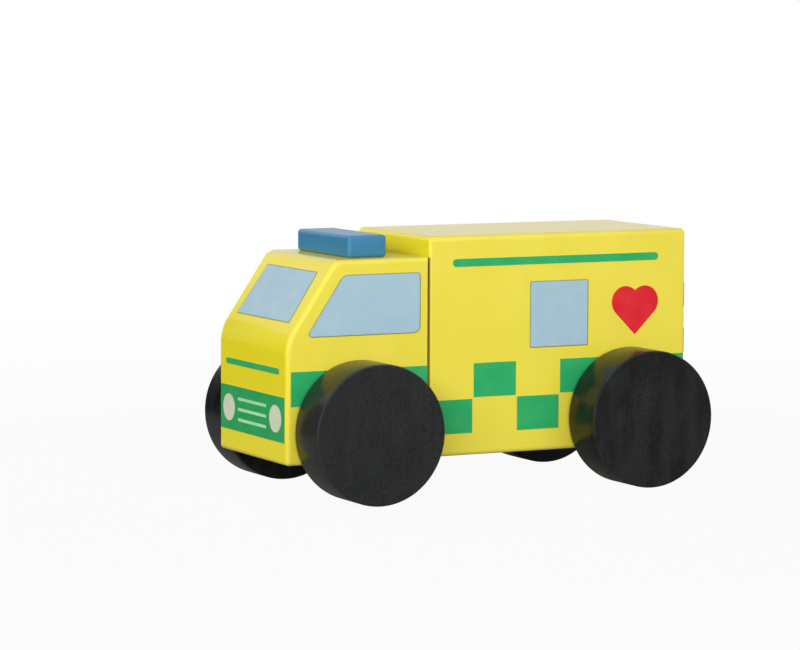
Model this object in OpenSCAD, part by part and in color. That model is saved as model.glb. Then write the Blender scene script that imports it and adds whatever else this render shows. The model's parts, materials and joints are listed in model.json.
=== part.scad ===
// Wooden push-along ambulance: a cab block and a box block glued on dowels, a lamp bar on pegs,
// thin printed markings, and two wheel sets that turn on dowel axles.
// Millimetres, +X towards the nose, +Y to the left, +Z up. The origin is on the floor,
// under the middle of the overall length.

/* [Blocks] */
// Length of the box block, behind the seam
box_length = 90.5; // [85:0.5:110]
// Length of the cab block, in front of the seam
cab_length = 47.6; // [45:0.2:54]
// Width of both blocks
body_width = 48.5; // [45:0.5:60]
// Height of the box block
box_height = 67.2; // [64:0.2:76]
// Height of the cab block at its roof
cab_height = 61; // [57:0.2:62]
// Height of the upright nose, up to the corner where the windscreen starts
nose_height = 37.2; // [34:0.2:39]
// Length of the cab roof, from the seam to the corner where the windscreen starts
roof_length = 31.5; // [29:0.5:34]
// Radius of the sanded edges
edge_radius = 1.4; // [1:0.1:2.2]
// Radius of the bend from the nose to the windscreen
bend_radius = 12; // [4:0.5:16]
// Radius of the bend from the windscreen to the roof
brow_radius = 4; // [2.5:0.5:6]

/* [Seam] */
// Width of the open groove between the blocks
seam_width = 0.5; // [0.3:0.1:1]
// Depth of the open groove between the blocks
seam_depth = 2; // [1:0.5:4]
// Diameter of the dowels that join the blocks
dowel_diameter = 8; // [5:0.5:10]
// Length of the dowels that join the blocks
dowel_length = 30; // [20:1:40]
// Distance between the two dowels, across the body
dowel_spacing = 24; // [16:1:28]
// Height of the dowels above the underside
dowel_height = 33; // [28:1:40]

/* [Lamp bar] */
// Length of the lamp bar along the roof
lamp_length = 13; // [9:0.5:14]
// Width of the lamp bar across the roof
lamp_width = 36; // [28:0.5:42]
// Height of the lamp bar
lamp_height = 6.7; // [5:0.1:9]
// Distance from the seam to the back of the lamp bar
lamp_setback = 11.2; // [6:0.2:13]
// Radius of the lamp bar's edges
lamp_edge_radius = 0.6; // [0.5:0.1:1.5]
// Diameter of the pegs under the lamp bar
peg_diameter = 6; // [4:0.5:7]
// Length of the pegs under the lamp bar
peg_length = 14; // [9:0.5:18]
// How far the pegs stand in the lamp bar
peg_reach = 4; // [2:0.5:4]
// Distance between the two pegs, across the roof
peg_spacing = 18; // [12:1:22]

/* [Wheels and axles] */
// Diameter of the wheels
wheel_diameter = 42.4; // [38:0.2:46]
// Thickness of the wheels
wheel_thickness = 15.5; // [11:0.5:18]
// Radius of the wheels' edges
wheel_edge_radius = 0.6; // [0.3:0.1:2]
// Free gap between a wheel and the side of the body
wheel_gap = 1.1; // [0.8:0.1:3]
// Distance from the nose to the front axle
front_axle_setback = 23.4; // [20:0.1:26]
// Distance from the tail to the rear axle
rear_axle_setback = 21.3; // [16:0.1:30]
// Height of the axles above the underside
axle_rise = 9.9; // [8:0.1:13]
// Diameter of the axles
axle_diameter = 8; // [6:0.5:9]
// Radial play of an axle in the block that carries it
axle_play = 0.1; // [0.05:0.05:0.5]
// How far an axle is glued into each wheel
axle_reach = 10; // [7:0.5:10]

/* [Printed windows] */
// Gap from the seam to the cab window
cab_window_gap = 3; // [1.5:0.1:5]
// Height of the cab window's sill above the nose corner
cab_window_rise = 1; // [0:0.1:4]
// Margin between the cab window and the roof
cab_window_margin = 4.4; // [3:0.1:7]
// Margin between the cab window and the windscreen, along the body
cab_window_front_margin = 5.6; // [4:0.1:9]
// Margin between the foot of the windscreen print and each side of the cab
windscreen_side_margin = 5.6; // [4:0.1:10]
// How much each side of the windscreen print leans in from its foot to its head
windscreen_lean = 1.1; // [0:0.1:4]
// Margin between the nose corner and the windscreen print
windscreen_foot_margin = 6.1; // [5:0.1:8]
// Margin between the windscreen print and the roof corner
windscreen_head_margin = 4.7; // [4:0.1:7]
// Length of the box window along the body
box_window_length = 20.5; // [14:0.5:30]
// Gap between the checks and the box window
box_window_gap = 3.6; // [2:0.1:8]
// Distance from the box roof to the box window
box_window_drop = 14.7; // [13.5:0.1:20]

/* [Printed markings] */
// Length of one check along the box
check_length = 15.1; // [10:0.1:18]
// Height of one row of checks
check_height = 10.9; // [8:0.1:12]
// Gap between neighbouring checks
check_gap = 0.5; // [0.2:0.1:1.5]
// Height of the lowest checks above the underside
check_base = 6.6; // [3:0.1:8]
// Height of the front panel print
panel_height = 13.6; // [11:0.1:16]
// Height of the front panel print above the underside
panel_base = 6.8; // [3:0.1:8]
// Diameter of the printed headlamps
headlamp_diameter = 8.3; // [6:0.1:9]
// Distance from the end of the front panel print to the middle of a headlamp
headlamp_inset = 6.15; // [5:0.05:7]
// Gap between a headlamp and the ends of the grille bars
grille_gap = 2.5; // [1:0.1:6]
// Height of one grille bar
grille_bar = 0.9; // [0.6:0.1:1.6]
// Distance from one grille bar to the next
grille_pitch = 3.2; // [2.2:0.1:3.4]
// Height of the plain stripe on the nose
bonnet_stripe_height = 1.8; // [1:0.1:4]
// Margin between the nose stripe and each side of the cab
bonnet_stripe_margin = 5.2; // [3:0.1:15]
// Distance from the nose corner down to the middle of the nose stripe
bonnet_stripe_drop = 9.3; // [7:0.1:12]
// Height of the plain stripe along the box
roof_stripe_height = 2.4; // [1:0.1:4]
// Distance from the box roof to the middle of that stripe
roof_stripe_drop = 8.3; // [6:0.1:10]
// Gap from the seam to the start of that stripe
roof_stripe_gap = 8; // [4:0.2:20]
// Gap from the tail to the end of that stripe
roof_stripe_tail_gap = 10.2; // [4:0.2:20]
// Width of the heart print
heart_width = 16.6; // [10:0.2:20]
// Distance from the tail to the middle of the heart
heart_inset = 18.4; // [14:0.2:24]
// Gap between the heart and the box window
heart_gap = 8.5; // [4:0.1:16]
// Number of chevrons on the tail
chevron_count = 3; // [1:1:3]
// Height of one chevron band
chevron_band = 7.3; // [4:0.1:8]
// Gap between two chevron bands
chevron_gap = 7.1; // [4:0.1:8]
// Height of the lowest chevron's ends above the underside
chevron_base = 13.7; // [6:0.1:15]
// How far a chevron rises to its middle
chevron_rise = 14; // [8:0.5:16]

/* [Hidden] */

// Thickness of a printed layer
film_thickness = 0.12;
// Radial gap that holds glue round a dowel, peg or axle end
glue_gap = 0.05;
// Gap that holds glue past the end of a dowel, peg or axle
end_gap = 0.5;
// Length by which a cutting shape passes what it cuts
overrun = 1;
// Chamfer on the ends of dowels, pegs and axles
dowel_chamfer = 0.7;
// Corner radius of the square windows
window_corner = 0.4;
// Corner radii of the cab window: rear foot, front foot, front head, rear head
cab_window_corners = [2.3, 1.2, 3, 1.2];
// Number of grille bars
grille_bars_count = 3;
// Number of rows of checks
check_rows = 2;
// Facets of a full round in the soft-edged blocks
soft_facets = 32;
// Facets of a full round elsewhere
round_facets = 96;
left = 1;
right = -1;

wheel_radius = wheel_diameter / 2;
body_length = box_length + cab_length;
// What passes the tail and the nose: the wheels, or the printed layers
tail_reach = max(film_thickness, wheel_radius - rear_axle_setback);
nose_reach = max(2 * film_thickness, wheel_radius - front_axle_setback);
tail_x = (nose_reach + body_length + tail_reach) / -2 + tail_reach;
seam_x = tail_x + box_length;
nose_x = seam_x + cab_length;
rear_axle_x = tail_x + rear_axle_setback;
front_axle_x = nose_x - front_axle_setback;

axle_z = wheel_radius;
under_z = axle_z - axle_rise;
cab_roof_z = under_z + cab_height;
box_roof_z = under_z + box_height;
nose_top_z = under_z + nose_height;

// The sloping windscreen, from the nose corner to the roof corner
windscreen_run = cab_length - roof_length;
windscreen_rise = cab_height - nose_height;
windscreen_length = norm([windscreen_run, windscreen_rise]);
windscreen_tilt = atan2(windscreen_run, windscreen_rise);

flat_width = body_width - 2 * edge_radius;
wheel_inner_y = body_width / 2 + wheel_gap;
axle_length = 2 * (wheel_inner_y + axle_reach);
lamp_x = seam_x + lamp_setback + lamp_length / 2;
peg_foot_z = cab_roof_z + peg_reach - peg_length;
panel_middle_z = under_z + panel_base + panel_height / 2;
headlamp_y = flat_width / 2 - headlamp_inset;
// Along the box, the heart stands off the tail and the window off the heart
heart_x = tail_x + heart_inset;
box_window_rear_x = heart_x + heart_width / 2 + heart_gap;
// Up the box, the window stands on the checks and ends below the roof stripe
box_window_foot_z = under_z + check_base + check_rows * check_height + box_window_gap;
box_window_head_z = box_roof_z - box_window_drop;

paint_yellow = [0.90, 0.85, 0.33];
paint_blue = [0.27, 0.50, 0.68];
stain_black = [0.17, 0.18, 0.18];
bare_wood = [0.80, 0.66, 0.45];
print_glass = [0.65, 0.76, 0.82];
print_green = [0.22, 0.67, 0.40];
print_red = [0.85, 0.14, 0.20];
print_cream = [0.82, 0.85, 0.72];
print_mint = [0.63, 0.86, 0.64];

function unit(v) = v / norm(v);
function wrapped(list, i) = list[(i + len(list)) % len(list)];
// Unit directions from corner i of an outline to its two neighbours
function corner_arms(points, i) = [
    unit(wrapped(points, i - 1) - points[i]),
    unit(wrapped(points, i + 1) - points[i])
];
function half_angle(arms) = acos(arms[0] * arms[1]) / 2;

// A convex outline with its own radius at each corner, drawn with true arcs
module rounded_outline(points, radii) {
    polygon([
        for (i = [0 : len(points) - 1])
            let (arms = corner_arms(points, i), reach = radii[i] / tan(half_angle(arms)))
                each [points[i] + arms[0] * reach, points[i] + arms[1] * reach]
    ]);
    for (i = [0 : len(points) - 1]) {
        arms = corner_arms(points, i);
        centre = points[i] + unit(arms[0] + arms[1]) * radii[i] / sin(half_angle(arms));
        if (radii[i] > 0)
            translate(centre) circle(radii[i], $fn = round_facets);
    }
}

// A rectangle from one corner to the opposite one
module span(low, high) {
    translate(low) square(high - low);
}

// A disc across the body with a round rim, from which the soft-edged blocks are hulled
module rimmed_disc(radius, width, rim) {
    rotate([90, 0, 0]) rotate_extrude($fn = soft_facets) intersection() {
        span([0, -width / 2], [radius, width / 2]);
        union() {
            span([0, rim - width / 2], [radius, width / 2 - rim]);
            span([0, -width / 2], [radius - rim, width / 2]);
            for (y = [rim - width / 2, width / 2 - rim])
                translate([radius - rim, y]) circle(rim, $fn = soft_facets);
        }
    }
}

// A block with soft edges: corners holds the middle and the radius of each corner, seen from the side
module soft_block(corners, width, rim) {
    hull() for (c = corners)
        translate([c[0], 0, c[1]]) rimmed_disc(c[2], width, rim);
}

// A round rod with chamfered ends, along +Z
module rod(diameter, length) {
    radius = diameter / 2;
    rotate_extrude($fn = round_facets) polygon([
        [0, 0], [radius - dowel_chamfer, 0], [radius, dowel_chamfer],
        [radius, length - dowel_chamfer], [radius - dowel_chamfer, length], [0, length]
    ]);
}

// The hole for such a rod, glued in or, with a play of its own, free to turn
module rod_hole(diameter, length, play) {
    cylinder(d = diameter + 2 * play, h = length, $fn = round_facets);
}

// Places what is drawn along +Z to point along +X, from the seam
module along_body_at_dowels() {
    for (side = [left, right])
        translate([seam_x, side * dowel_spacing / 2, under_z + dowel_height])
            rotate([0, 90, 0]) children();
}

module at_pegs() {
    for (side = [left, right])
        translate([lamp_x, side * peg_spacing / 2, 0]) children();
}

// Places what is drawn along +Z to lie across the body on an axle's line, from the middle outwards
module across_body(x) {
    translate([x, 0, axle_z]) rotate([-90, 0, 0]) children();
}

module axle_bore(x) {
    across_body(x) translate([0, 0, -body_width / 2 - overrun])
        rod_hole(axle_diameter, body_width + 2 * overrun, axle_play);
}

module dowel_sockets() {
    depth = dowel_length / 2 + end_gap;
    along_body_at_dowels() translate([0, 0, -depth])
        rod_hole(dowel_diameter, 2 * depth, glue_gap);
}

module peg_sockets() {
    at_pegs() translate([0, 0, peg_foot_z - end_gap])
        rod_hole(peg_diameter, peg_length + 2 * end_gap, glue_gap);
}

// The strip cut away round the back of the cab, which leaves the dark groove of the seam
module seam_groove() {
    pad_width = body_width - 2 * seam_depth;
    pad_height = cab_height - 2 * seam_depth;
    translate([seam_x, 0, under_z]) difference() {
        translate([-overrun, -body_width / 2 - overrun, -overrun])
            cube([overrun + seam_width, body_width + 2 * overrun, cab_height + 2 * overrun]);
        translate([-2 * overrun, -pad_width / 2, seam_depth])
            cube([3 * overrun + seam_width, pad_width, pad_height]);
    }
}

// The cab profile continues behind the seam, where it is cut off square
module cab_block() {
    behind_x = seam_x - 2 * edge_radius;
    bend_z = nose_top_z - bend_radius * tan(windscreen_tilt / 2);
    brow_x = seam_x + roof_length - brow_radius * tan((90 - windscreen_tilt) / 2);
    color(paint_yellow) difference() {
        soft_block([
            [behind_x, under_z + edge_radius, edge_radius],
            [nose_x - edge_radius, under_z + edge_radius, edge_radius],
            [nose_x - bend_radius, bend_z, bend_radius],
            [brow_x, cab_roof_z - brow_radius, brow_radius],
            [behind_x, cab_roof_z - edge_radius, edge_radius]
        ], body_width, edge_radius);
        translate([behind_x - edge_radius - overrun, -body_width / 2 - overrun, under_z - overrun])
            cube([3 * edge_radius + overrun, body_width + 2 * overrun, cab_height + 2 * overrun]);
        seam_groove();
        axle_bore(front_axle_x);
        dowel_sockets();
        peg_sockets();
    }
}

// The box profile continues past the seam, where it is cut off square under a rounded top edge
module box_block() {
    ahead_x = seam_x + 2 * edge_radius;
    color(paint_yellow) difference() {
        soft_block([
            for (x = [tail_x + edge_radius, ahead_x])
                for (z = [under_z + edge_radius, box_roof_z - edge_radius])
                    [x, z, edge_radius]
        ], body_width, edge_radius);
        translate([0, body_width / 2 + overrun, 0]) rotate([90, 0, 0])
            linear_extrude(body_width + 2 * overrun) difference() {
                span([seam_x - edge_radius, under_z - overrun],
                    [ahead_x + edge_radius + overrun, box_roof_z + overrun]);
                span([seam_x - edge_radius - overrun, under_z - 2 * overrun],
                    [seam_x, box_roof_z - edge_radius]);
                translate([seam_x - edge_radius, box_roof_z - edge_radius])
                    circle(edge_radius, $fn = round_facets);
            }
        axle_bore(rear_axle_x);
        dowel_sockets();
    }
}

module seam_dowels() {
    color(bare_wood) along_body_at_dowels() translate([0, 0, -dowel_length / 2])
        rod(dowel_diameter, dowel_length);
}

module lamp_bar() {
    low_z = cab_roof_z + lamp_edge_radius;
    high_z = cab_roof_z + lamp_height - lamp_edge_radius;
    reach = lamp_length / 2 - lamp_edge_radius;
    color(paint_blue) difference() {
        soft_block([
            for (x = [lamp_x - reach, lamp_x + reach]) for (z = [low_z, high_z])
                [x, z, lamp_edge_radius]
        ], lamp_width, lamp_edge_radius);
        peg_sockets();
    }
}

module lamp_bar_pegs() {
    color(bare_wood) at_pegs() translate([0, 0, peg_foot_z]) rod(peg_diameter, peg_length);
}

// Lays an outline, drawn along X and Z, on one side of the body as a printed layer, which is
// drilled with the block where an axle passes
module print_on_side(side) {
    translate([0, side * body_width / 2 + (side == left ? film_thickness : 0), 0])
        rotate([90, 0, 0]) linear_extrude(film_thickness) difference() {
            children();
            for (x = [front_axle_x, rear_axle_x]) translate([x, axle_z])
                circle(d = axle_diameter + 2 * axle_play, $fn = round_facets);
        }
}

// Lays an outline, drawn along Y and Z, on the nose, over any layers that are there already
module print_on_nose(layer = 0) {
    translate([nose_x + layer * film_thickness, 0, 0])
        rotate([90, 0, 90]) linear_extrude(film_thickness) children();
}

// Lays an outline, drawn along Y and Z, on the tail
module print_on_tail() {
    translate([tail_x, 0, 0]) rotate([90, 0, -90]) linear_extrude(film_thickness) children();
}

// Lays an outline, drawn along Y and up the slope from the nose corner, on the windscreen
module print_on_windscreen() {
    translate([nose_x, 0, nose_top_z]) rotate([0, -windscreen_tilt, 0]) rotate([90, 0, 90])
        linear_extrude(film_thickness) children();
}

module windscreen() {
    foot = windscreen_foot_margin;
    head = windscreen_length - windscreen_head_margin;
    foot_reach = body_width / 2 - windscreen_side_margin;
    head_reach = foot_reach - windscreen_lean;
    color(print_glass) print_on_windscreen() rounded_outline(
        [[-foot_reach, foot], [foot_reach, foot], [head_reach, head], [-head_reach, head]],
        [for (i = [0 : 3]) window_corner]);
}

// The front edge of the cab window runs along the slope of the windscreen
module cab_window(side) {
    foot_z = nose_top_z + cab_window_rise;
    head_z = cab_roof_z - cab_window_margin;
    rear_x = seam_x + cab_window_gap;
    function front_x(z) = nose_x - cab_window_front_margin - (z - nose_top_z) * tan(windscreen_tilt);
    color(print_glass) print_on_side(side) rounded_outline(
        [[rear_x, foot_z], [front_x(foot_z), foot_z], [front_x(head_z), head_z], [rear_x, head_z]],
        cab_window_corners);
}

module box_window(side) {
    low = [box_window_rear_x, box_window_foot_z];
    high = [box_window_rear_x + box_window_length, box_window_head_z];
    color(print_glass) print_on_side(side) rounded_outline(
        [low, [high[0], low[1]], high, [low[0], high[1]]], [for (i = [0 : 3]) window_corner]);
}

module front_panel() {
    foot_z = under_z + panel_base;
    color(print_green) print_on_nose()
        span([-flat_width / 2, foot_z], [flat_width / 2, foot_z + panel_height]);
}

module headlamps() {
    color(print_cream) print_on_nose(1) for (side = [left, right])
        translate([side * headlamp_y, panel_middle_z])
            circle(d = headlamp_diameter, $fn = round_facets);
}

module grille_bars() {
    reach = headlamp_y - headlamp_diameter / 2 - grille_gap;
    color(print_mint) print_on_nose(1) for (i = [0 : grille_bars_count - 1])
        translate([0, panel_middle_z + (i - (grille_bars_count - 1) / 2) * grille_pitch])
            square([2 * reach, grille_bar], center = true);
}

// A plain stripe with round ends
module stripe(start, end, middle_z, height) {
    radius = height / 2;
    span([start + radius, middle_z - radius], [end - radius, middle_z + radius]);
    for (x = [start + radius, end - radius])
        translate([x, middle_z]) circle(radius, $fn = round_facets);
}

module bonnet_stripe() {
    reach = body_width / 2 - bonnet_stripe_margin;
    color(print_green) print_on_nose()
        stripe(-reach, reach, nose_top_z - bonnet_stripe_drop, bonnet_stripe_height);
}

module roof_stripe(side) {
    color(print_green) print_on_side(side)
        stripe(tail_x + roof_stripe_tail_gap, seam_x - roof_stripe_gap,
            box_roof_z - roof_stripe_drop, roof_stripe_height);
}

// One check, shrunk on all sides by half the gap, in a column behind the seam and a row from below
module check(column, row) {
    corner = [seam_x - (column + 1) * check_length, under_z + check_base + row * check_height];
    inset = [check_gap / 2, check_gap / 2];
    span(corner + inset, corner + [check_length, check_height] - inset);
}

// The cab's stripe carries on the upper row of checks, up to the sanded nose edge
module cab_stripe(side) {
    foot_z = under_z + check_base + (check_rows - 1) * check_height;
    color(print_green) print_on_side(side)
        span([seam_x + seam_width, foot_z + check_gap / 2],
            [nose_x - edge_radius, foot_z + check_height - check_gap / 2]);
}

// Checks step between the two rows, from the seam to the sanded tail edge
module checks(side) {
    columns = ceil(box_length / check_length);
    color(print_green) print_on_side(side) intersection() {
        for (column = [0 : columns - 1]) check(column, column % check_rows);
        span([tail_x + edge_radius, under_z], [seam_x, box_roof_z]);
    }
}

// A heart made from a square on its corner and a round on each of its upper sides
module heart(side) {
    width_share = 1 / 2 + sqrt(2) / 4;
    square_side = heart_width / 2 / width_share;
    lobe_offset = square_side / sqrt(8);
    // The square's middle lies a little below the heart's, which is level with the window's
    sink = (lobe_offset + square_side / 2 - square_side / sqrt(2)) / 2;
    color(print_red) print_on_side(side)
        translate([heart_x, (box_window_foot_z + box_window_head_z) / 2 - sink]) {
            rotate(45) square(square_side, center = true);
            for (lobe = [left, right]) translate([lobe * lobe_offset, lobe_offset])
                circle(square_side / 2, $fn = round_facets);
        }
}

// Bands that rise to the middle of the tail, kept on its flat part
module rear_chevrons() {
    reach = body_width / 2;
    color(print_red) print_on_tail() intersection() {
        for (i = [0 : chevron_count - 1])
            translate([0, under_z + chevron_base + i * (chevron_band + chevron_gap)]) polygon([
                [-reach, 0], [0, chevron_rise], [reach, 0],
                [reach, chevron_band], [0, chevron_rise + chevron_band], [-reach, chevron_band]
            ]);
        span([-flat_width / 2, under_z + edge_radius], [flat_width / 2, box_roof_z - edge_radius]);
    }
}

module axle(x) {
    color(bare_wood) across_body(x) translate([0, 0, -axle_length / 2])
        rod(axle_diameter, axle_length);
}

// A solid disc with soft edges and a blind hole for the axle in its inner face
module wheel(x, side) {
    tread = wheel_thickness - 2 * wheel_edge_radius;
    face = wheel_radius - wheel_edge_radius;
    color(stain_black) across_body(x) rotate([side == left ? 0 : 180, 0, 0])
        translate([0, 0, wheel_inner_y]) difference() {
            rotate_extrude($fn = round_facets) {
                span([0, wheel_edge_radius], [wheel_radius, wheel_edge_radius + tread]);
                span([0, 0], [face, wheel_thickness]);
                for (y = [wheel_edge_radius, wheel_edge_radius + tread])
                    translate([face, y]) circle(wheel_edge_radius, $fn = round_facets);
            }
            translate([0, 0, -overrun])
                rod_hole(axle_diameter, overrun + axle_reach + end_gap, glue_gap);
        }
}

cab_block();
box_block();
seam_dowels();
lamp_bar();
lamp_bar_pegs();
windscreen();
cab_window(left);  // left_cab_window
cab_window(right);  // right_cab_window
box_window(left);  // left_box_window
box_window(right);  // right_box_window
front_panel();
headlamps();
grille_bars();
bonnet_stripe();
cab_stripe(left);  // left_cab_stripe
cab_stripe(right);  // right_cab_stripe
checks(left);  // left_checks
checks(right);  // right_checks
roof_stripe(left);  // left_roof_stripe
roof_stripe(right);  // right_roof_stripe
heart(left);  // left_heart
heart(right);  // right_heart
rear_chevrons();
axle(front_axle_x);  // front_axle
wheel(front_axle_x, left);  // front_left_wheel
wheel(front_axle_x, right);  // front_right_wheel
axle(rear_axle_x);  // rear_axle
wheel(rear_axle_x, left);  // rear_left_wheel
wheel(rear_axle_x, right);  // rear_right_wheel
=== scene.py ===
"""The looks of a wooden push-along ambulance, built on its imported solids, in metres and in their frame."""
import json
import math

import bmesh
import bpy
from mathutils import Euler, Matrix, Vector


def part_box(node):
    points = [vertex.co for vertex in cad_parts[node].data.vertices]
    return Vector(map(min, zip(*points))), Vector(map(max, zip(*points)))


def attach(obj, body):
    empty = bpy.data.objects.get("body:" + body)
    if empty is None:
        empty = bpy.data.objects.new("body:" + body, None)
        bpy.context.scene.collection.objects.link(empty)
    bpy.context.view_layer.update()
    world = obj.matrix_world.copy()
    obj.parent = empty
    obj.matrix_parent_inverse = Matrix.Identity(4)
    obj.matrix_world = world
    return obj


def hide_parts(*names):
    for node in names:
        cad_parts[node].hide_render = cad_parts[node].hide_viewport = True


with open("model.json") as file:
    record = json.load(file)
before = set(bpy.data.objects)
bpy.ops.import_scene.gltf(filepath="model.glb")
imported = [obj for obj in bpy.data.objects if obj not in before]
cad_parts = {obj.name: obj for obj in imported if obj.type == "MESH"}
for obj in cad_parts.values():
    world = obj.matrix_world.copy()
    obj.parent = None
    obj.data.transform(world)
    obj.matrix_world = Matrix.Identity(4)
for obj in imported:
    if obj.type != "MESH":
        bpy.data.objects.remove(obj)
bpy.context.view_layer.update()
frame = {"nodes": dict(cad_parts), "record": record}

# Sizes, the same as in the part's source
MM = 0.001
EDGE_RADIUS = 1.4 * MM
BEND_RADIUS = 12 * MM
BROW_RADIUS = 4 * MM
NOSE_HEIGHT = 37.2 * MM
ROOF_LENGTH = 31.5 * MM
GROOVE_WIDTH = 0.5 * MM
GROOVE_DEPTH = 2 * MM
WHEEL_EDGE_RADIUS = 0.6 * MM
AXLE_PLAY = 0.1 * MM
GLUE_GAP = 0.05 * MM
END_GAP = 0.5 * MM
FILM = 0.12 * MM
CAB_WINDOW_FRONT_MARGIN = 5.6 * MM
CAB_WINDOW_RADII = [2.3 * MM, 1.2 * MM, 3 * MM, 1.2 * MM]
SCREEN_FOOT_MARGIN = 6.1 * MM
SCREEN_HEAD_MARGIN = 4.7 * MM
SCREEN_SIDE_MARGIN = 5.6 * MM
SCREEN_LEAN = 1.1 * MM
WINDOW_RADIUS = 0.4 * MM
CHECK_LENGTH = 15.1 * MM
CHECK_HEIGHT = 10.9 * MM
CHECK_GAP = 0.5 * MM
CHECK_COLUMNS = 6
CHEVRON_COUNT = 3
CHEVRON_BAND = 7.3 * MM
CHEVRON_PITCH = 14.4 * MM
CHEVRON_RISE = 14 * MM

# Sizes that only the looks need
LAMP_EDGE_RADIUS = 1.1 * MM
WINDOW_OUTLINE = 0.3 * MM
CAB_SEAM_EASE = 0.2 * MM
BOX_SEAM_EASE = 0.8 * MM
HOLDING_MARGIN = 0.3 * MM
BROAD_FACE = 60 * MM * MM
TOUCH = 0.01 * MM
SOFT_STEPS = 6
BEND_STEPS = 12
WHEEL_SIDES = 144
DRILL_SIDES = 64
SHARP_ANGLE = math.radians(32)

ALONG = Vector((1, 0, 0))
ACROSS = Vector((0, 1, 0))
UP = Vector((0, 0, 1))

# Places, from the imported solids
cab_low, cab_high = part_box("cab_block")
box_low, box_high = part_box("box_block")
seam_x = box_high.x
nose_x = cab_high.x
tail_x = box_low.x
side_y = cab_high.y
under_z = cab_low.z
nose_corner = Vector((nose_x, 0, under_z + NOSE_HEIGHT))
roof_corner = Vector((seam_x + ROOF_LENGTH, 0, cab_high.z))
screen_up = (roof_corner - nose_corner).normalized()
screen_out = Vector((screen_up.z, 0, -screen_up.x))
screen_tilt = math.atan2(-screen_up.x, screen_up.z)
FLATS = [ALONG, -ALONG, ACROSS, -ACROSS, UP, -UP, screen_out]

BODY_OF = {node: body for body, nodes in frame["record"]["behaviour"]["bodies"].items() for node in nodes}


# Modelling helpers

def clear_selection():
    if bpy.context.object and bpy.context.object.mode != "OBJECT":
        bpy.ops.object.mode_set(mode="OBJECT")
    bpy.ops.object.select_all(action="DESELECT")


def select_only(piece):
    clear_selection()
    piece.select_set(True)
    bpy.context.view_layer.objects.active = piece


def settle(piece, name):
    """Names a piece and puts its place, turn and size into its mesh."""
    piece.name = name
    piece.data.name = name
    select_only(piece)
    bpy.ops.object.transform_apply(location=True, rotation=True, scale=True)
    return piece


def add_block(name, low, high):
    clear_selection()
    bpy.ops.mesh.primitive_cube_add(size=1, location=(low + high) / 2, scale=high - low)
    return settle(bpy.context.object, name)


def copy_piece(piece, name):
    """A copy with a mesh of its own."""
    clear_selection()
    twin = piece.copy()
    twin.data = piece.data.copy()
    bpy.context.scene.collection.objects.link(twin)
    return settle(twin, name)


def mirror_piece(piece, name):
    """A copy on the other side of the body, with its faces turned outwards again."""
    twin = copy_piece(piece, name)
    twin.scale.y = -1
    settle(twin, name)
    pick(twin, "FACE", everything)
    bpy.ops.mesh.normals_make_consistent(inside=False)
    clear_selection()
    return twin


def pick(piece, kind, wanted):
    """Selects, in edit mode, the piece's vertices, edges or faces that pass the test."""
    bpy.context.view_layer.objects.active = piece
    bpy.ops.object.mode_set(mode="EDIT")
    bpy.ops.mesh.select_mode(type=kind)
    bpy.ops.mesh.select_all(action="DESELECT")
    shape = bmesh.from_edit_mesh(piece.data)
    group = {"VERT": shape.verts, "EDGE": shape.edges, "FACE": shape.faces}[kind]
    for item in group:
        item.select_set(bool(wanted(item)))
    bmesh.update_edit_mesh(piece.data)


def everything(item):
    return True


def close_to(a, b):
    return abs(a - b) < TOUCH


def apply_modifier(piece, modifier):
    select_only(piece)
    bpy.ops.object.modifier_apply(modifier=modifier.name)


def round_cross_edge(piece, corner, radius, turn):
    """Rounds the edge that runs across the body at a corner of the side profile."""
    def at_corner(edge):
        return all(close_to(v.co.x, corner.x) and close_to(v.co.z, corner.z) for v in edge.verts)
    pick(piece, "EDGE", at_corner)
    bpy.ops.mesh.bevel(offset=radius * math.tan(turn / 2), offset_type="OFFSET", segments=BEND_STEPS,
                       profile=0.5, affect="EDGES")


def sand_edges(piece, widest, radius_at):
    """Rounds each edge by the radius that its two ends give, up to the widest."""
    clear_selection()
    weights = piece.data.attributes.new("bevel_weight_edge", "FLOAT", "EDGE")
    for edge in piece.data.edges:
        start, end = (piece.data.vertices[i].co for i in edge.vertices)
        weights.data[edge.index].value = radius_at(start, end) / widest
    sanding = piece.modifiers.new("sanding", "BEVEL")
    sanding.limit_method = "WEIGHT"
    sanding.width = widest
    sanding.segments = SOFT_STEPS
    apply_modifier(piece, sanding)


def hold_flat_faces(piece):
    """Frames each broad face with a narrow margin, so that its shading stays flat."""
    pick(piece, "FACE", lambda face: face.calc_area() > BROAD_FACE)
    bpy.ops.mesh.inset(thickness=HOLDING_MARGIN, use_individual=True)
    clear_selection()


def drill(piece, start, end, radius):
    """Drills a round hole between two points, which shows bare wood, and smooths the shading again."""
    clear_selection()
    line = end - start
    bpy.ops.mesh.primitive_cylinder_add(vertices=DRILL_SIDES, radius=radius, depth=line.length,
                                        location=(start + end) / 2,
                                        rotation=line.to_track_quat("Z", "Y").to_euler())
    bit = bpy.context.object
    bit.data.materials.append(drilled_wood)
    hole = piece.modifiers.new("hole", "BOOLEAN")
    hole.operation = "DIFFERENCE"
    hole.solver = "EXACT"
    hole.material_mode = "TRANSFER"
    hole.object = bit
    apply_modifier(piece, hole)
    bpy.ops.object.shade_smooth_by_angle(angle=SHARP_ANGLE)
    bpy.data.objects.remove(bit)


def drill_for_rods(piece, node, direction, play, spare=0):
    """Drills a piece for a node's rods: one that lies across the body, or a pair side by side."""
    low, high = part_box(node)
    middle = (low + high) / 2
    radius = min(high - low) / 2
    reach = direction * ((high - low).dot(direction) / 2 + spare)
    beside = ACROSS * (high.y - radius)
    for offset in [Vector()] if direction == ACROSS else [beside, -beside]:
        drill(piece, middle + offset - reach, middle + offset + reach, radius + play)


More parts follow.
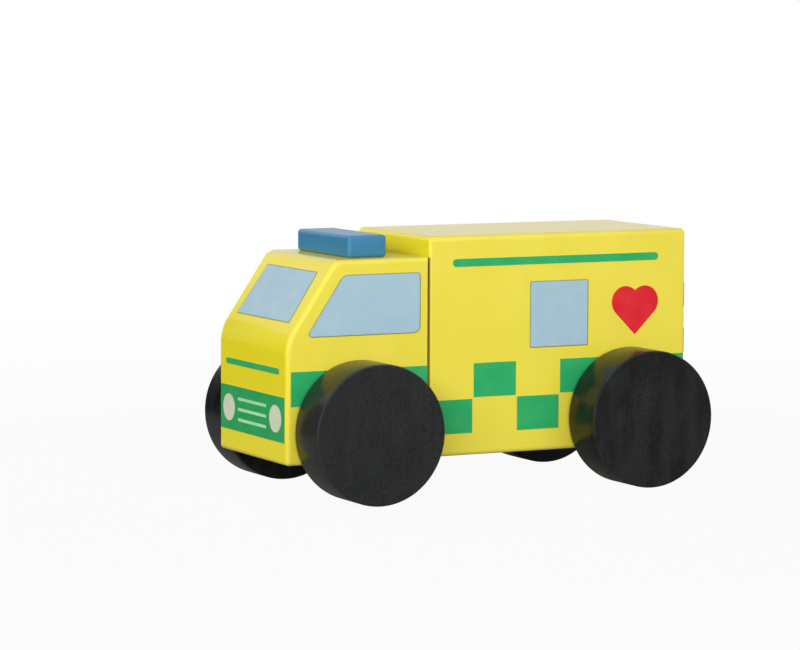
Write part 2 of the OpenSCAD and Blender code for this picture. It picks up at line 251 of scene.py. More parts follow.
def mark(piece, name, amount):
    """Keeps at each vertex, for the finish, an amount that is worked out from its normal."""
    clear_selection()
    values = piece.data.attributes.new(name, "FLOAT", "POINT")
    for vertex in piece.data.vertices:
        values.data[vertex.index].value = amount(vertex.normal)


def edge_turn(normal):
    """How far an edge is turned from the flat faces: 0 on a face, 1 half way round."""
    turned = 1 - max(normal.dot(flat) for flat in FLATS)
    return min(1, turned / (1 - math.cos(math.radians(45))))


def end_grain(normal):
    """1 on the nose and tail, where the blocks' end grain soaks up the paint, and 0 on the long sides."""
    return min(1, max(0, 2 * abs(normal.x) - 1))


def tread(normal):
    """1 on a wheel's running face and 0 on its flat faces."""
    return 1 - abs(normal.y)


def rim_turn(normal):
    """1 half way round the edge of a wheel, and 0 on its faces."""
    turned = 1 - max(abs(normal.y), math.hypot(normal.x, normal.z))
    return min(1, turned / (1 - math.cos(math.radians(45))))


def add_film(piece):
    """Gives a print its thickness, outwards from the wood."""
    film = piece.modifiers.new("film", "SOLIDIFY")
    film.thickness = FILM
    film.offset = 1
    film.use_even_offset = True
    apply_modifier(piece, film)


def dress(piece, *finishes):
    """Smooths the shading between the sharp edges and adds the finishes, the first of them all over."""
    select_only(piece)
    bpy.ops.object.shade_smooth_by_angle(angle=SHARP_ANGLE)
    for finish in finishes:
        piece.data.materials.append(finish)


def dress_faces(piece, slot, wanted):
    pick(piece, "FACE", wanted)
    piece.active_material_index = slot
    bpy.ops.object.material_slot_assign()
    clear_selection()


def stand_for(piece, node):
    """The piece takes the place of a solid, on its body, and the solid is hidden."""
    clear_selection()
    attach(piece, BODY_OF[node])
    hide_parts(node)


# Finish helpers

def tone(red, green, blue):
    """A colour as seen on a screen, 0 to 255, as the linear colour that a shader takes."""
    def linear(value):
        share = value / 255
        return share / 12.92 if share <= 0.04045 else ((share + 0.055) / 1.055) ** 2.4
    return linear(red), linear(green), linear(blue), 1.0


def new_finish(name):
    finish = bpy.data.materials.new(name)
    finish.use_nodes = True
    tree = finish.node_tree
    return finish, tree, tree.nodes["Principled BSDF"]


def speckle(tree, count, turn=(0, 0, 0), place=(0, 0, 0), detail=4.0):
    """Noise on the piece's own coordinates: count is how many specks there are to a metre on each axis."""
    where = tree.nodes.new("ShaderNodeTexCoord")
    mapping = tree.nodes.new("ShaderNodeMapping")
    mapping.inputs["Scale"].default_value = count
    mapping.inputs["Rotation"].default_value = turn
    mapping.inputs["Location"].default_value = place
    noise = tree.nodes.new("ShaderNodeTexNoise")
    noise.inputs["Scale"].default_value = 1.0
    noise.inputs["Detail"].default_value = detail
    tree.links.new(where.outputs["Object"], mapping.inputs["Vector"])
    tree.links.new(mapping.outputs["Vector"], noise.inputs["Vector"])
    return noise.outputs["Fac"]


def marked(tree, name):
    """An amount that the piece keeps at its vertices."""
    node = tree.nodes.new("ShaderNodeAttribute")
    node.attribute_name = name
    return node.outputs["Fac"]


def sum_of(tree, value, share, rest):
    """The value times its share, plus the rest; the share and the rest are sockets or numbers."""
    node = tree.nodes.new("ShaderNodeMath")
    node.operation = "MULTIPLY_ADD"
    for socket, part in zip(node.inputs, (value, share, rest)):
        if isinstance(part, bpy.types.NodeSocket):
            tree.links.new(part, socket)
        else:
            socket.default_value = part
    return node.outputs["Value"]


def shades(tree, value, *stops):
    """Turns a value into colours, by stops of (value, colour)."""
    ramp = tree.nodes.new("ShaderNodeValToRGB")
    elements = ramp.color_ramp.elements
    while len(elements) < len(stops):
        elements.new(0.5)
    for element, (position, colour) in zip(elements, stops):
        element.position = position
        element.color = colour
    tree.links.new(value, ramp.inputs["Fac"])
    return ramp.outputs["Color"]


def spread(tree, value, low, high, from_low=0.3, from_high=0.7):
    """Spreads a value over a range."""
    node = tree.nodes.new("ShaderNodeMapRange")
    node.inputs["From Min"].default_value = from_low
    node.inputs["From Max"].default_value = from_high
    node.inputs["To Min"].default_value = low
    node.inputs["To Max"].default_value = high
    tree.links.new(value, node.inputs["Value"])
    return node.outputs["Result"]


def blend_colours(tree, share, under, over):
    """Lays one colour over another by a share; the colours are sockets or values."""
    mix = tree.nodes.new("ShaderNodeMix")
    mix.data_type = "RGBA"
    colour_inputs = [socket for socket in mix.inputs if socket.type == "RGBA"]
    for socket, colour in zip(colour_inputs, (under, over)):
        if isinstance(colour, bpy.types.NodeSocket):
            tree.links.new(colour, socket)
        else:
            socket.default_value = colour
    tree.links.new(share, mix.inputs["Factor"])
    return next(socket for socket in mix.outputs if socket.type == "RGBA")


def roughen(tree, shader, *layers):
    """Chains bumps of (height, depth) on to the shader's normal."""
    normal = None
    for height, depth in layers:
        bump = tree.nodes.new("ShaderNodeBump")
        bump.inputs["Distance"].default_value = depth
        tree.links.new(height, bump.inputs["Height"])
        if normal:
            tree.links.new(normal, bump.inputs["Normal"])
        normal = bump.outputs["Normal"]
    tree.links.new(normal, shader.inputs["Normal"])


# Finishes: specks to a metre, depths of the bumps, and tones

PAINT_CLOUDS = (55, 55, 55)
PAINT_PEEL = (900, 900, 900)
PAINT_FIGURE_DEPTH = 0.004 * MM
PAINT_PEEL_DEPTH = 0.005 * MM
STAIN_CLOUDS = (75, 75, 45)
STAIN_STREAKS = (230, 230, 75)
STAIN_FLECKS = (1900, 1900, 1200)
STAIN_PORES = (1500, 1500, 850)
STAIN_FLECK_DEPTH = 0.015 * MM
STAIN_PORE_DEPTH = 0.025 * MM
PALE_FLECK = tone(60, 62, 59)
DARK_PORE = tone(13, 13, 14)
# Paler tone for the wheels' eased rims: worn stain and a painted highlight of the rim.
RIM_WEAR_AND_HIGHLIGHT = tone(72, 73, 66)
INK_COVER = (160, 160, 160)
INK_DOTS = (2600, 2600, 2600)
INK_DOT_DEPTH = 0.006 * MM
WOOD_STREAK_DEPTH = 0.04 * MM
GRAIN_ALONG_BODY = (60, 900, 900)
GRAIN_ACROSS_BODY = (900, 60, 900)
GRAIN_UPRIGHT = (900, 900, 60)


def satin_paint(name, deep, clear, soaked, rubbed_and_highlight, grain, roughness):
    """Satin paint on wood: faintly cloudy, the grain just telling through, soaked ends, and edges paler in
    patches, which is rubbed paint and a painted highlight together.
    """
    finish, tree, shader = new_finish(name)
    cloud = speckle(tree, PAINT_CLOUDS, detail=3)
    figure = speckle(tree, grain, detail=5)
    peel = speckle(tree, PAINT_PEEL, detail=2)
    soak = marked(tree, "end_grain")
    # Paler on the turned edges, in patches: rubbed paint and a painted highlight of the rounding.
    wear_and_highlight = sum_of(tree, marked(tree, "edge_turn"), spread(tree, peel, 0.05, 0.3), 0)
    long_side = shades(tree, cloud, (0.35, deep), (0.65, clear))
    painted = blend_colours(tree, soak, long_side, soaked)
    tree.links.new(blend_colours(tree, wear_and_highlight, painted, rubbed_and_highlight), shader.inputs["Base Color"])
    tree.links.new(spread(tree, figure, roughness - 0.02, roughness + 0.02), shader.inputs["Roughness"])
    roughen(tree, shader, (figure, PAINT_FIGURE_DEPTH), (peel, PAINT_PEEL_DEPTH))
    return finish


def black_stain(name, turn, place, deep, clear):
    """Thin black stain: upright streaks, fine pores and paler flecks; the tread is closed and glossier, and
    the eased rims are paler in patches, worn stain and painted highlight together.
    """
    finish, tree, shader = new_finish(name)
    clouds = speckle(tree, STAIN_CLOUDS, turn, place, 3)
    streaks = speckle(tree, STAIN_STREAKS, turn, place, 5)
    flecks = speckle(tree, STAIN_FLECKS, turn, place, 3)
    pores = speckle(tree, STAIN_PORES, turn, (place[0], place[1] + 3, place[2]), 3)
    running = marked(tree, "tread")
    open_grain = spread(tree, running, 1, 0.1, 0, 1)
    thickness = sum_of(tree, spread(tree, clouds, 0.35, 1), open_grain, 0)
    ground = shades(tree, streaks, (0.38, deep), (0.62, clear))
    pale = sum_of(tree, spread(tree, flecks, 0, 0.35, 0.52, 0.75), thickness, 0)
    flecked = blend_colours(tree, pale, ground, PALE_FLECK)
    open_pores = sum_of(tree, spread(tree, pores, 0, 0.9, 0.52, 0.68), thickness, 0)
    pored = blend_colours(tree, open_pores, flecked, DARK_PORE)
    # Paler on the eased rims, in patches: worn stain and a painted highlight.
    wear_and_highlight = sum_of(tree, marked(tree, "rim_turn"), spread(tree, flecks, 0.1, 0.5), 0)
    tree.links.new(blend_colours(tree, wear_and_highlight, pored, RIM_WEAR_AND_HIGHLIGHT), shader.inputs["Base Color"])
    grainy = sum_of(tree, flecks, open_grain, 0)
    smoothed = sum_of(tree, running, -0.25, 0.47)
    tree.links.new(sum_of(tree, grainy, 0.3, smoothed), shader.inputs["Roughness"])
    shader.inputs["Specular IOR Level"].default_value = 0.25
    pitted = sum_of(tree, pores, open_grain, 0)
    roughen(tree, shader, (grainy, STAIN_FLECK_DEPTH), (pitted, -STAIN_PORE_DEPTH))
    return finish


def printed_ink(name, thin, full, specular=0.3):
    """Screen-printed ink: slightly uneven cover over the grain, a little duller than the paint."""
    finish, tree, shader = new_finish(name)
    cover = speckle(tree, INK_COVER)
    dots = speckle(tree, INK_DOTS, detail=2)
    covered = shades(tree, cover, (0.3, thin), (0.62, full))
    colour = blend_colours(tree, spread(tree, dots, 0, 0.35, 0.6, 0.8), covered, thin)
    tree.links.new(colour, shader.inputs["Base Color"])
    tree.links.new(spread(tree, cover, 0.36, 0.46), shader.inputs["Roughness"])
    shader.inputs["Specular IOR Level"].default_value = specular
    roughen(tree, shader, (dots, INK_DOT_DEPTH))
    return finish


def bare_wood(name, grain):
    """Bare wood: pale, with fine streaks along the grain."""
    finish, tree, shader = new_finish(name)
    streaks = speckle(tree, grain, detail=5)
    colour = shades(tree, streaks, (0.3, tone(188, 148, 98)), (0.5, tone(214, 178, 128)),
                    (0.7, tone(226, 194, 148)))
    tree.links.new(colour, shader.inputs["Base Color"])
    tree.links.new(spread(tree, streaks, 0.5, 0.66), shader.inputs["Roughness"])
    roughen(tree, shader, (streaks, WOOD_STREAK_DEPTH))
    return finish


# The fourth tone of each paint is the paler edge tone: rubbed paint and a painted highlight together.
yellow_paint = satin_paint("yellow_paint", tone(229, 213, 66), tone(233, 217, 73), tone(233, 217, 36),
                           tone(238, 226, 104), GRAIN_ALONG_BODY, 0.25)
blue_paint = satin_paint("blue_paint", tone(52, 119, 160), tone(58, 127, 167), tone(54, 119, 157),
                         tone(96, 154, 192), GRAIN_ACROSS_BODY, 0.36)
# Painted shade of the seam groove: a brown on the glued faces in the groove and on the eased edge beside it.
groove_shade_paint = satin_paint("groove_shade_paint", tone(146, 120, 50), tone(154, 128, 54), tone(150, 124, 52),
                           tone(164, 140, 66), GRAIN_ALONG_BODY, 0.5)
green_ink = printed_ink("green_ink", tone(54, 170, 101), tone(40, 164, 96))
# Painted shade: a darker copy of the green print, for the panel on the nose.
shaded_panel_ink = printed_ink("shaded_panel_ink", tone(46, 159, 91), tone(37, 151, 85))
red_ink = printed_ink("red_ink", tone(218, 48, 54), tone(212, 30, 42))
window_ink = printed_ink("window_ink", tone(165, 193, 206), tone(159, 188, 203))
outline_ink = printed_ink("outline_ink", tone(146, 156, 116), tone(134, 146, 106))
cream_ink = printed_ink("cream_ink", tone(198, 208, 176), tone(208, 214, 190))
mint_ink = printed_ink("mint_ink", tone(156, 218, 156), tone(172, 230, 170))
axle_wood = bare_wood("axle_wood", GRAIN_ACROSS_BODY)
dowel_wood = bare_wood("dowel_wood", GRAIN_ALONG_BODY)
peg_wood = bare_wood("peg_wood", GRAIN_UPRIGHT)
drilled_wood = bare_wood("drilled_wood", GRAIN_ALONG_BODY)


# Blocks

def cab_shape():
    """The cab with its sloped screen and sanded edges, and the pad on its back that the groove runs round."""
    back_x = seam_x + GROOVE_WIDTH
    piece = add_block("painted_cab", Vector((back_x, cab_low.y, cab_low.z)), cab_high)
    pick(piece, "FACE", everything)
    bpy.ops.mesh.bisect(plane_co=nose_corner, plane_no=screen_out, use_fill=True, clear_outer=True)
    round_cross_edge(piece, nose_corner, BEND_RADIUS, screen_tilt)
    round_cross_edge(piece, roof_corner, BROW_RADIUS, math.radians(90) - screen_tilt)

    def radius_at(start, end):
        if close_to(start.x, back_x) and close_to(end.x, back_x):
            return CAB_SEAM_EASE
        along_side = close_to(abs(start.y), side_y) and close_to(start.y, end.y)
        at_foot = close_to(start.z, under_z) and close_to(end.z, under_z) and close_to(start.x, end.x)
        return EDGE_RADIUS if along_side or at_foot else 0
    sand_edges(piece, EDGE_RADIUS, radius_at)
    pick(piece, "FACE", lambda face: face.normal.x < -0.99 and face.calc_area() > BROAD_FACE)
    bpy.ops.mesh.inset(thickness=GROOVE_DEPTH)
    bpy.ops.mesh.extrude_region_move(TRANSFORM_OT_translate={"value": (-GROOVE_WIDTH, 0, 0)})
    hold_flat_faces(piece)
    return piece


def box_shape():
    """The box with sanded edges, less so at the seam; its front is split where the cab's roof meets it."""
    piece = add_block("painted_box", box_low, box_high)

    def radius_at(start, end):
        at_front = close_to(start.x, seam_x) and close_to(end.x, seam_x)
        on_roof = close_to(start.z, box_high.z) and close_to(end.z, box_high.z)
        return BOX_SEAM_EASE if at_front and not on_roof else EDGE_RADIUS
    sand_edges(piece, EDGE_RADIUS, radius_at)
    pick(piece, "FACE", lambda face: face.normal.x > 0.3)
    bpy.ops.mesh.bisect(plane_co=(0, 0, cab_high.z - CAB_SEAM_EASE), plane_no=UP)
    hold_flat_faces(piece)
    return piece


def paint_block(piece, node, groove_shade_faces):
    """Paints a block, browner in and beside the groove: painted shade for the groove, which keeps the light
    out, on the glued faces and on the eased edge beside them.
    """
    mark(piece, "edge_turn", edge_turn)
    mark(piece, "end_grain", end_grain)
    dress(piece, yellow_paint, groove_shade_paint)
    dress_faces(piece, 1, groove_shade_faces)
    stand_for(piece, node)


# Faces of the cab's groove, which take the painted shade of the groove.
def in_cab_groove_shade(face):
    return face.calc_center_median().x < seam_x + GROOVE_WIDTH + TOUCH


def in_box_groove_shade(face):
    """The front face behind the cab, and the nearer half of its eased edge, which take the painted shade of
    the groove.
    """
    middle = face.calc_center_median()
    return middle.x > seam_x - BOX_SEAM_EASE / 2 and middle.z < cab_high.z - CAB_SEAM_EASE


def painted_lamp_bar():
    piece = add_block("painted_lamp_bar", *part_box("lamp_bar"))
    sand_edges(piece, LAMP_EDGE_RADIUS, lambda start, end: LAMP_EDGE_RADIUS)
    hold_flat_faces(piece)
    mark(piece, "edge_turn", edge_turn)
    dress(piece, blue_paint)
    drill_for_rods(piece, "lamp_bar_pegs", UP, GLUE_GAP, END_GAP)
    stand_for(piece, "lamp_bar")


# Wheels

def middle_of(node):
    low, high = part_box(node)
    return (low + high) / 2


def first_wheel(node, axle):
    """A thick disc with eased edges and a blind hole for the axle; the left-hand one."""
    low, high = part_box(node)
    radius = (high.z - low.z) / 2
    clear_selection()
    bpy.ops.mesh.primitive_cylinder_add(vertices=WHEEL_SIDES, radius=radius, depth=high.y - low.y,
                                        location=middle_of(node), rotation=(math.radians(90), 0, 0))
    piece = settle(bpy.context.object, "stained_" + node)
    pick(piece, "EDGE", lambda edge: close_to(edge.verts[0].co.y, edge.verts[1].co.y))
    bpy.ops.mesh.bevel(offset=WHEEL_EDGE_RADIUS, offset_type="OFFSET", segments=SOFT_STEPS,
                       profile=0.5, affect="EDGES")
    pick(piece, "FACE", lambda face: abs(face.normal.y) > 0.99 and face.calc_area() > BROAD_FACE)
    bpy.ops.mesh.inset(thickness=HOLDING_MARGIN, use_individual=True)
    axle_low, axle_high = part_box(axle)
    hole_radius = (axle_high.z - axle_low.z) / 2 + GLUE_GAP
    pick(piece, "FACE", lambda face: face.normal.y < -0.99 and face.calc_area() > BROAD_FACE)
    bpy.ops.mesh.inset(thickness=radius - WHEEL_EDGE_RADIUS - HOLDING_MARGIN - hole_radius)
    depth = axle_high.y + END_GAP - low.y
    bpy.ops.mesh.extrude_region_move(TRANSFORM_OT_translate={"value": (0, depth, 0)})
    mark(piece, "tread", tread)
    mark(piece, "rim_turn", rim_turn)
    dress(piece)
    return piece


def copied_wheel(first, first_node, node):
    """A copy of the first wheel in another place; a right-hand one is turned round, to face outwards."""
    piece = copy_piece(first, "stained_" + node)
    place = middle_of(node)
    turn = Matrix.Rotation(math.pi if place.y < 0 else 0, 4, "Z")
    piece.matrix_world = Matrix.Translation(place) @ turn @ Matrix.Translation(-middle_of(first_node))
    return settle(piece, piece.name)


def stain_wheel(piece, node, turn, place, stain):
    piece.data.materials.append(black_stain("black_stain_" + node, turn, place, *stain))
    stand_for(piece, node)


# Prints

def round_vertex(piece, corner, before, after, radius):
    """Rounds one corner of a flat outline, between its two neighbours."""
    half_angle = (before - corner).angle(after - corner) / 2
    pick(piece, "VERT", lambda vertex: (vertex.co - corner).length < TOUCH)
    bpy.ops.mesh.bevel(offset=radius / math.tan(half_angle), offset_type="OFFSET", segments=SOFT_STEPS,
                       profile=0.5, affect="VERTICES")


def printed_window(node, corners, radii):
    """A pane of ink with rounded corners and a dark outline; corners run anticlockwise from outside."""
    clear_selection()
    bpy.ops.mesh.primitive_plane_add(size=1)
    piece = settle(bpy.context.object, "printed_" + node)
    foot_start, foot_end, head_end, head_start = corners
    for vertex, corner in zip(piece.data.vertices, (foot_start, foot_end, head_start, head_end)):
        vertex.co = corner
    for i, radius in enumerate(radii):
        round_vertex(piece, corners[i], corners[i - 1], corners[(i + 1) % len(corners)], radius)
    clear_selection()
    dress(piece, outline_ink, window_ink)
    pick(piece, "FACE", everything)
    bpy.ops.mesh.inset(thickness=WINDOW_OUTLINE)
    piece.active_material_index = 1
    bpy.ops.object.material_slot_assign()
    add_film(piece)
    stand_for(piece, node)
    return piece


def left_corners(*points):
    """Points along X and Z as corners on the body's left side, anticlockwise from outside."""
    return [Vector((x, side_y, z)) for x, z in reversed(points)]


def printed_cab_window(node):
    low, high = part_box(node)

    def front_x(z):
        return nose_x - CAB_WINDOW_FRONT_MARGIN - (z - nose_corner.z) * math.tan(screen_tilt)
    foot = front_x(low.z), low.z
    head = front_x(high.z), high.z
    corners = left_corners((low.x, low.z), foot, head, (low.x, high.z))
    return printed_window(node, corners, CAB_WINDOW_RADII[::-1])


def printed_box_window(node):
    low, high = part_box(node)
    corners = left_corners((low.x, low.z), (high.x, low.z), (high.x, high.z), (low.x, high.z))
    return printed_window(node, corners, [WINDOW_RADIUS] * 4)


def printed_windscreen(node):
    foot = nose_corner + screen_up * SCREEN_FOOT_MARGIN
    head = roof_corner - screen_up * SCREEN_HEAD_MARGIN
    foot_reach = ACROSS * (side_y - SCREEN_SIDE_MARGIN)
    head_reach = foot_reach - ACROSS * SCREEN_LEAN
    corners = [foot - foot_reach, foot + foot_reach, head + head_reach, head - head_reach]
    return printed_window(node, corners, [WINDOW_RADIUS] * 4)


def wrapped_print(node, block, finish, cuts, kept):
    """Copies a block's skin, cuts it along planes of (point, direction), and keeps a film on some faces."""
    piece = copy_piece(block, "printed_" + node)
    for point, direction in cuts:
        pick(piece, "FACE", everything)
        bpy.ops.mesh.bisect(plane_co=point, plane_no=direction)
    pick(piece, "FACE", lambda face: not kept(face.calc_center_median(), face.normal))
    bpy.ops.mesh.delete(type="FACE")
    add_film(piece)
    dress(piece, finish)
    stand_for(piece, node)
    return piece


def level_cut(z):
    return UP * z, UP


def cross_cut(x):
    return ALONG * x, ALONG


def printed_cab_stripe(node, cab):
    """The stripe runs to where the nose edge starts to turn."""
    low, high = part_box(node)

    def kept(middle, normal):
        return low.x < middle.x < high.x and low.z < middle.z < high.z and normal.y > 0.5
    cuts = [level_cut(low.z), level_cut(high.z), cross_cut(low.x), cross_cut(high.x)]
    return wrapped_print(node, cab, green_ink, cuts, kept)


def printed_checks(node, box):
    """Checks that step between two rows; the last one ends on the sanded tail edge."""
    inset = CHECK_GAP / 2
    foot_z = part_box(node)[0].z - inset
    cuts = []
    areas = []
    for column in range(CHECK_COLUMNS):
        front_x = seam_x - column * CHECK_LENGTH - inset
        back_x = max(front_x - CHECK_LENGTH + 2 * inset, tail_x + EDGE_RADIUS / 2)
        lower_z = foot_z + column % 2 * CHECK_HEIGHT + inset
        upper_z = lower_z + CHECK_HEIGHT - 2 * inset
        cuts += [cross_cut(front_x), cross_cut(back_x), level_cut(lower_z), level_cut(upper_z)]
        areas.append((back_x, front_x, lower_z, upper_z))

    def kept(middle, normal):
        inside = any(a < middle.x < b and c < middle.z < d for a, b, c, d in areas)
        return inside and normal.y > 0.5
    piece = wrapped_print(node, box, green_ink, cuts, kept)
    drill_for_rods(piece, "rear_axle", ACROSS, AXLE_PLAY)
    return piece


def printed_front_panel(node, cab):
    low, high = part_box(node)

    def kept(middle, normal):
        return low.y < middle.y < high.y and low.z < middle.z < high.z and normal.x > 0.5
    cuts = [level_cut(low.z), level_cut(high.z), (ACROSS * low.y, ACROSS), (ACROSS * high.y, ACROSS)]
    return wrapped_print(node, cab, shaded_panel_ink, cuts, kept)


def printed_chevrons(node, box):
    """Bands that rise to the middle of the tail and start to turn over its sanded side edges."""
    slope = CHEVRON_RISE / side_y
    end_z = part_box(node)[0].z - slope * EDGE_RADIUS
    cuts = [(Vector(), ACROSS)]
    for i in range(CHEVRON_COUNT):
        for z in (end_z + i * CHEVRON_PITCH, end_z + i * CHEVRON_PITCH + CHEVRON_BAND):
            for side in (-1, 1):
                cuts.append((Vector((0, side * side_y, z)), Vector((0, side * slope, 1))))

    def kept(middle, normal):
        rise = middle.z - end_z - slope * (side_y - abs(middle.y))
        banded = 0 < rise < CHEVRON_COUNT * CHEVRON_PITCH and rise % CHEVRON_PITCH < CHEVRON_BAND
        return banded and normal.x < -0.7 and abs(normal.z) < 0.1
    return wrapped_print(node, box, red_ink, cuts, kept)


def print_right_side(piece, node):
    """A right-hand print, from the left-hand one."""
    mirrored = node.replace("left", "right")
    twin = mirror_piece(piece, "printed_" + mirrored)
    stand_for(twin, mirrored)


def finish_nodes(finish, *nodes):
    """Gives the solids that are shown as they are their finish."""
    for node in nodes:
        materials = frame["nodes"][node].data.materials
        materials.clear()
        materials.append(finish)


cab = cab_shape()
box = box_shape()
printed_windscreen("windscreen")
printed_front_panel("front_panel", cab)
printed_chevrons("rear_chevrons", box)
left_prints = {
    "left_cab_window": printed_cab_window("left_cab_window"),
    "left_box_window": printed_box_window("left_box_window"),
    "left_cab_stripe": printed_cab_stripe("left_cab_stripe", cab),
    "left_checks": printed_checks("left_checks", box),
}
for node, piece in left_prints.items():
    print_right_side(piece, node)

paint_block(cab, "cab_block", in_cab_groove_shade)
paint_block(box, "box_block", in_box_groove_shade)
for block, axle in ((cab, "front_axle"), (box, "rear_axle")):
    drill_for_rods(block, axle, ACROSS, AXLE_PLAY)
    drill_for_rods(block, "seam_dowels", ALONG, GLUE_GAP, END_GAP)
drill_for_rods(cab, "lamp_bar_pegs", UP, GLUE_GAP, END_GAP)
painted_lamp_bar()

# Each wheel's grain has its own turn and place, and the stain took better on some of them
LIGHT_STAIN = tone(29, 31, 32), tone(35, 37, 36)
DARK_STAIN = tone(14, 15, 16), tone(30, 32, 31)
WHEEL_GRAIN = {
    "front_left_wheel": ((0, math.radians(4), 0), (0, 0, 0), LIGHT_STAIN),
    "front_right_wheel": ((0, math.radians(-20), 0), (5, 0, 0), DARK_STAIN),
    "rear_left_wheel": ((0, math.radians(-9), 0), (9, 4, 0), DARK_STAIN),
    "rear_right_wheel": ((0, math.radians(30), 0), (0, 7, 3), LIGHT_STAIN),
}
first = first_wheel("front_left_wheel", "front_axle")
wheels = {node: copied_wheel(first, "front_left_wheel", node) for node in list(WHEEL_GRAIN)[1:]}
wheels["front_left_wheel"] = first
for node, (turn, place, stain) in WHEEL_GRAIN.items():
    stain_wheel(wheels[node], node, turn, place, stain)

finish_nodes(green_ink, "bonnet_stripe", "left_roof_stripe", "right_roof_stripe")
finish_nodes(red_ink, "left_heart", "right_heart")
finish_nodes(cream_ink, "headlamps")
finish_nodes(mint_ink, "grille_bars")
finish_nodes(axle_wood, "front_axle", "rear_axle")
finish_nodes(dowel_wood, "seam_dowels")
finish_nodes(peg_wood, "lamp_bar_pegs")


# Stage

FLOOR_RADIUS = 4.0
FLOOR_SIDES = 96
STAGE_ROUGHNESS = 0.9
FLOOR_TONE = (0.35, 0.35, 0.35, 1)
SHADOW_VEIL = 0.95
VEIL_REACH = (0.2, 0.6)
MIRRORED_REACH = (0.4, 1.5)
CARD_PLACE = Vector((0.151, -0.168, 0))
CARD_FACING = Vector((-0.466, 0.879, 0))
CARD_WIDTH = 0.16
CARD_HEIGHT = 0.12
CARD_TONE = (0.03, 0.03, 0.03, 1)
WORLD_LIGHT = 0.16
LAMP_DISTANCE = 1.8
LAMP_WIDTH = 1.4
LAMP_HEIGHT = 0.5
# Each lamp's bearing from the nose towards the left side, its elevation and its power
LAMPS = {
    "front_lamp": (15, 25, 14),
    "corner_lamp": (60, 15, 20),
    "left_lamp": (105, 15, 9.5),
    "rear_lamp": (190, 10, 16),
    "right_lamp": (280, 10, 20),
}
# The camera, in degrees but for its place and lens
CAMERA_PLACE = Vector((517.12, 975.27, 153.27)) * MM
CAMERA_DOWN = 5.41
CAMERA_BEARING = -117.06
CAMERA_ROLL = 0.2
CAMERA_LENS = 160.5
CAMERA_SENSOR = 36.0
CAMERA_REACH = 100


def greatest_of(tree, first, second):
    node = tree.nodes.new("ShaderNodeMath")
    node.operation = "MAXIMUM"
    tree.links.new(first, node.inputs[0])
    tree.links.new(second, node.inputs[1])
    return node.outputs["Value"]


def pale_floor():
    """A floor that looks white with a soft shadow, and mirrors as white further out."""
    clear_selection()
    bpy.ops.mesh.primitive_circle_add(vertices=FLOOR_SIDES, radius=FLOOR_RADIUS, fill_type="NGON")
    floor = settle(bpy.context.object, "floor")
    finish, tree, shader = new_finish("pale_floor")
    shader.inputs["Base Color"].default_value = FLOOR_TONE
    shader.inputs["Roughness"].default_value = STAGE_ROUGHNESS
    shader.inputs["Specular IOR Level"].default_value = 0
    where = tree.nodes.new("ShaderNodeTexCoord")
    reach = tree.nodes.new("ShaderNodeVectorMath")
    reach.operation = "LENGTH"
    tree.links.new(where.outputs["Object"], reach.inputs[0])
    path = tree.nodes.new("ShaderNodeLightPath")
    mirrored = greatest_of(tree, path.outputs["Is Glossy Ray"], path.outputs["Is Transmission Ray"])
    veil = spread(tree, reach.outputs["Value"], SHADOW_VEIL, 1, *VEIL_REACH)
    mirrored_veil = spread(tree, reach.outputs["Value"], 0, 1, *MIRRORED_REACH)
    share = sum_of(tree, veil, path.outputs["Is Camera Ray"], sum_of(tree, mirrored_veil, mirrored, 0))
    glow = tree.nodes.new("ShaderNodeEmission")
    mix = tree.nodes.new("ShaderNodeMixShader")
    tree.links.new(share, mix.inputs["Fac"])
    tree.links.new(shader.outputs["BSDF"], mix.inputs[1])
    tree.links.new(glow.outputs["Emission"], mix.inputs[2])
    tree.links.new(mix.outputs["Shader"], tree.nodes["Material Output"].inputs["Surface"])
    floor.data.materials.append(finish)


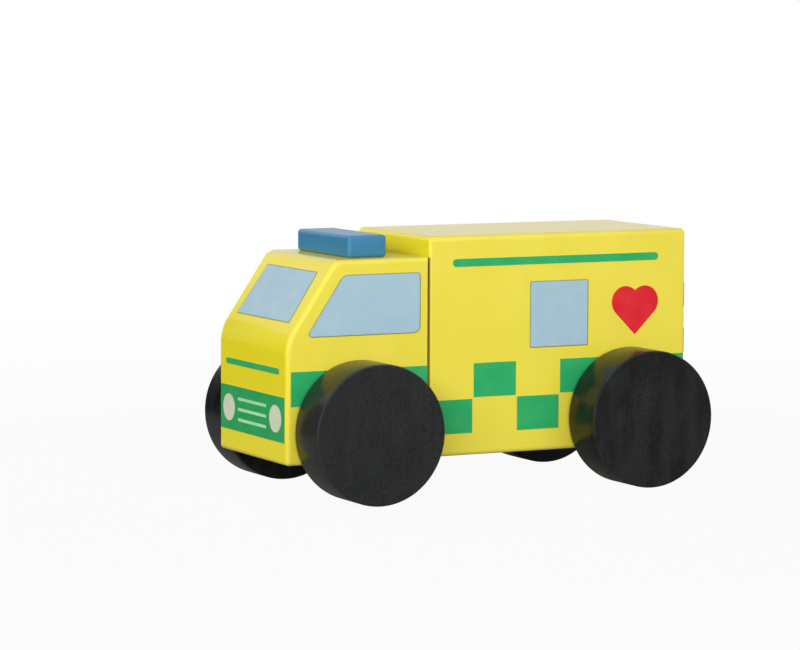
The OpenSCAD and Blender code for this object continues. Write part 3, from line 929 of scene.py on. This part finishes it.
def dark_card():
    """A low dark card beside the nose, out of the picture, for the nose and the black treads to mirror."""
    clear_selection()
    middle = CARD_PLACE + UP * CARD_HEIGHT / 2
    bpy.ops.mesh.primitive_plane_add(size=1, location=middle,
                                     rotation=CARD_FACING.to_track_quat("Z", "X").to_euler())
    bpy.context.object.scale = (CARD_HEIGHT, CARD_WIDTH, 1)
    card = settle(bpy.context.object, "dark_card")
    finish, _, shader = new_finish("dark_card")
    shader.inputs["Base Color"].default_value = CARD_TONE
    shader.inputs["Roughness"].default_value = STAGE_ROUGHNESS
    card.data.materials.append(finish)
    card.visible_camera = False
    card.visible_diffuse = False
    card.visible_shadow = False


def white_world():
    """White to the eye and in reflections, and dimmer as light."""
    world = bpy.data.worlds.new("white_world")
    world.use_nodes = True
    tree = world.node_tree
    path = tree.nodes.new("ShaderNodeLightPath")
    mirrored = greatest_of(tree, path.outputs["Is Glossy Ray"], path.outputs["Is Transmission Ray"])
    seen = greatest_of(tree, path.outputs["Is Camera Ray"], mirrored)
    background = tree.nodes["Background"]
    background.inputs["Color"].default_value = (1, 1, 1, 1)
    tree.links.new(spread(tree, seen, WORLD_LIGHT, 1, 0, 1), background.inputs["Strength"])
    bpy.context.scene.world = world


def soft_lamp(name, bearing, elevation, power):
    """A broad lamp that faces the toy."""
    lamp = bpy.data.lights.new(name, "AREA")
    lamp.shape = "RECTANGLE"
    lamp.size = LAMP_WIDTH
    lamp.size_y = LAMP_HEIGHT
    lamp.energy = power
    holder = bpy.data.objects.new(name, lamp)
    turn = Euler((0, -math.radians(elevation), math.radians(bearing))).to_matrix()
    direction = turn @ ALONG
    holder.location = direction * LAMP_DISTANCE
    holder.rotation_euler = direction.to_track_quat("Z", "Y").to_euler()
    holder.visible_glossy = False
    bpy.context.scene.collection.objects.link(holder)


def photo_camera():
    """The camera that the photograph's corners and wheel outlines fit."""
    lens = bpy.data.cameras.new("camera")
    lens.lens = CAMERA_LENS
    lens.sensor_width = CAMERA_SENSOR
    lens.clip_end = CAMERA_REACH
    camera = bpy.data.objects.new("camera", lens)
    aim = Euler((math.radians(90 - CAMERA_DOWN), 0, math.radians(CAMERA_BEARING - 90))).to_matrix()
    turned = aim @ Matrix.Rotation(math.radians(CAMERA_ROLL), 3, "Z")
    camera.matrix_world = Matrix.Translation(CAMERA_PLACE) @ turned.to_4x4()
    bpy.context.scene.collection.objects.link(camera)
    bpy.context.scene.camera = camera


pale_floor()
dark_card()
white_world()
for name, (bearing, elevation, power) in LAMPS.items():
    soft_lamp(name, bearing, elevation, power)
photo_camera()
bpy.context.scene.view_settings.view_transform = "Standard"
